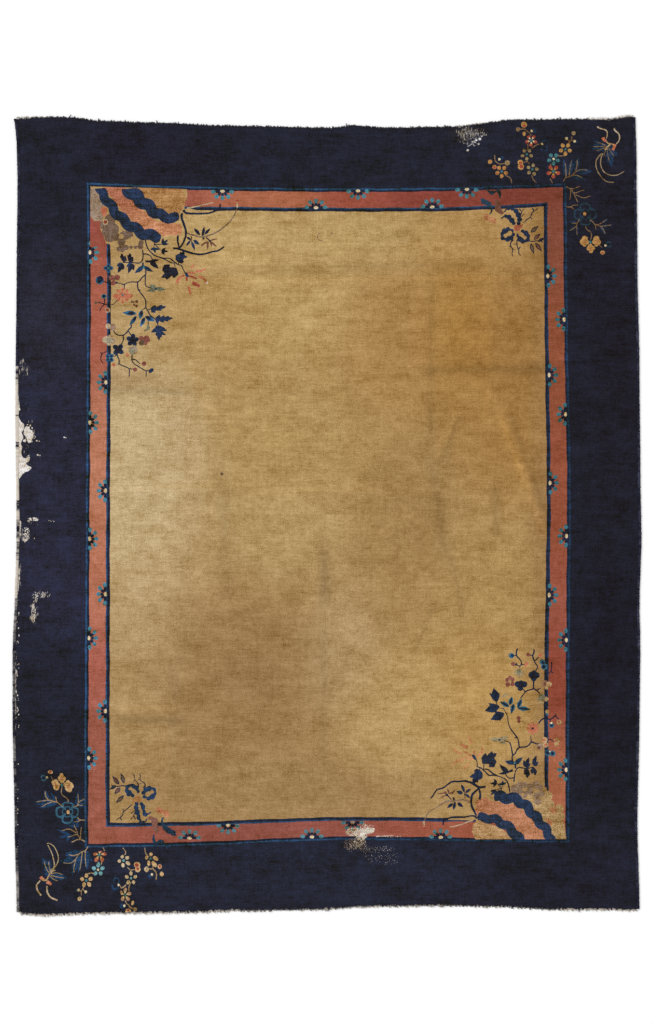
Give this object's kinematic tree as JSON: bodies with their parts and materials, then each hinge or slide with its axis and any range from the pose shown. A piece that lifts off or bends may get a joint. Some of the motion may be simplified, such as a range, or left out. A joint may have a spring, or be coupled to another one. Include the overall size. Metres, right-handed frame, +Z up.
{
  "type": "hand-knotted carpet",
  "caption": "Large hand-knotted wool carpet lying flat, with overcast side cords, worn pile and short end fringes.",
  "frame": {"origin": "on the floor under the middle of the carpet", "axes": "+Z up, +Y along the carpet towards the end with the longer loose warps, +X towards its right-hand side"},
  "size_m": [2.776, 3.5462, 0.015],
  "materials": {
    "wool_pile": "short cut wool pile, knotted in rows, worn in places",
    "side_cord_wool": "overcast wool yarn",
    "warp_cotton": "undyed cotton warps, frayed"
  },
  "bodies": {
    "root": {"carpet_cloth": "wool_pile", "side_cord_left": "side_cord_wool", "side_cord_right": "side_cord_wool", "end_fringe_top": "warp_cotton", "end_fringe_bottom": "warp_cotton"}
  },
  "joints": []
}
